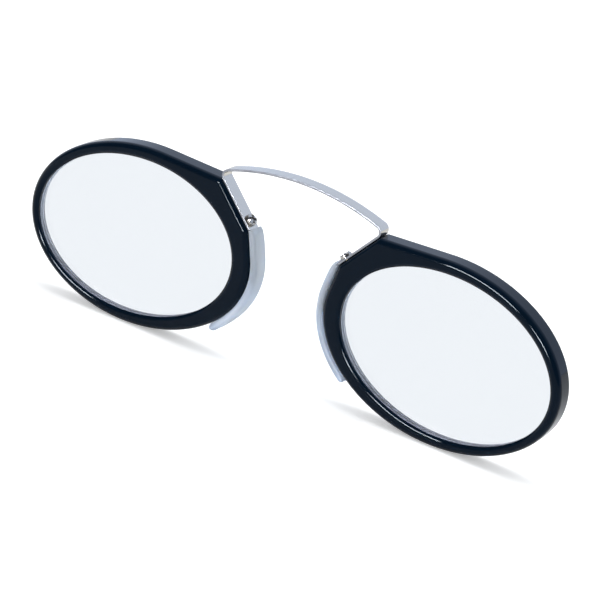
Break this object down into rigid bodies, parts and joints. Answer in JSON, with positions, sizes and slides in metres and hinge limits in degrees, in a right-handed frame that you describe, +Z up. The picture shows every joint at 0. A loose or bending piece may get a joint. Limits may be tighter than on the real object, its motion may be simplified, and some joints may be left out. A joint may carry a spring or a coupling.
{
  "type": "pince-nez reading glasses",
  "caption": "Armless oval reading glasses with dark plastic rims, joined by a flat spring strip that arches over the nose and grips it with translucent silicone pads.",
  "frame": {"origin": "middle of the gap between the nose pads, level with the lens centres and half way through the depth of the rims", "axes": "+X across the face towards the right lens as seen from the front, +Y from the fronts of the rims to their backs (towards the wearer), +Z up"},
  "size_m": [0.109, 0.0038, 0.0374],
  "materials": {
    "rim_plastic": "gloss",
    "lens_plastic": "clear, polished",
    "spring_steel": "brushed",
    "screw_steel": "polished",
    "insert_brass": "satin",
    "pad_silicone": "translucent satin"
  },
  "bodies": {
    "bridge": {"bridge_arch": "spring_steel"},
    "left_side": {"rim_left": "rim_plastic", "lens_left": "lens_plastic", "spring_leg_left": "spring_steel", "thread_insert_left": "insert_brass", "screw_left": "screw_steel", "nose_pad_left": "pad_silicone"},
    "right_side": {"rim_right": "rim_plastic", "lens_right": "lens_plastic", "spring_leg_right": "spring_steel", "thread_insert_right": "insert_brass", "screw_right": "screw_steel", "nose_pad_right": "pad_silicone"}
  },
  "joints": [
    {"name": "left_spread", "type": "hinge", "parent": "bridge", "child": "left_side", "pos_m": [-0.00802, 0, 0.0199], "axis": [0, 1, 0], "range_deg": [0, 12], "stiffness_Nm_per_rad": 0.21},
    {"name": "right_spread", "type": "hinge", "parent": "bridge", "child": "right_side", "pos_m": [0.00802, 0, 0.0199], "axis": [0, -1, 0], "range_deg": [0, 12], "stiffness_Nm_per_rad": 0.21}
  ],
  "couplings": [
    {"joint": "right_spread", "follows": "left_spread", "ratio": 1}
  ]
}
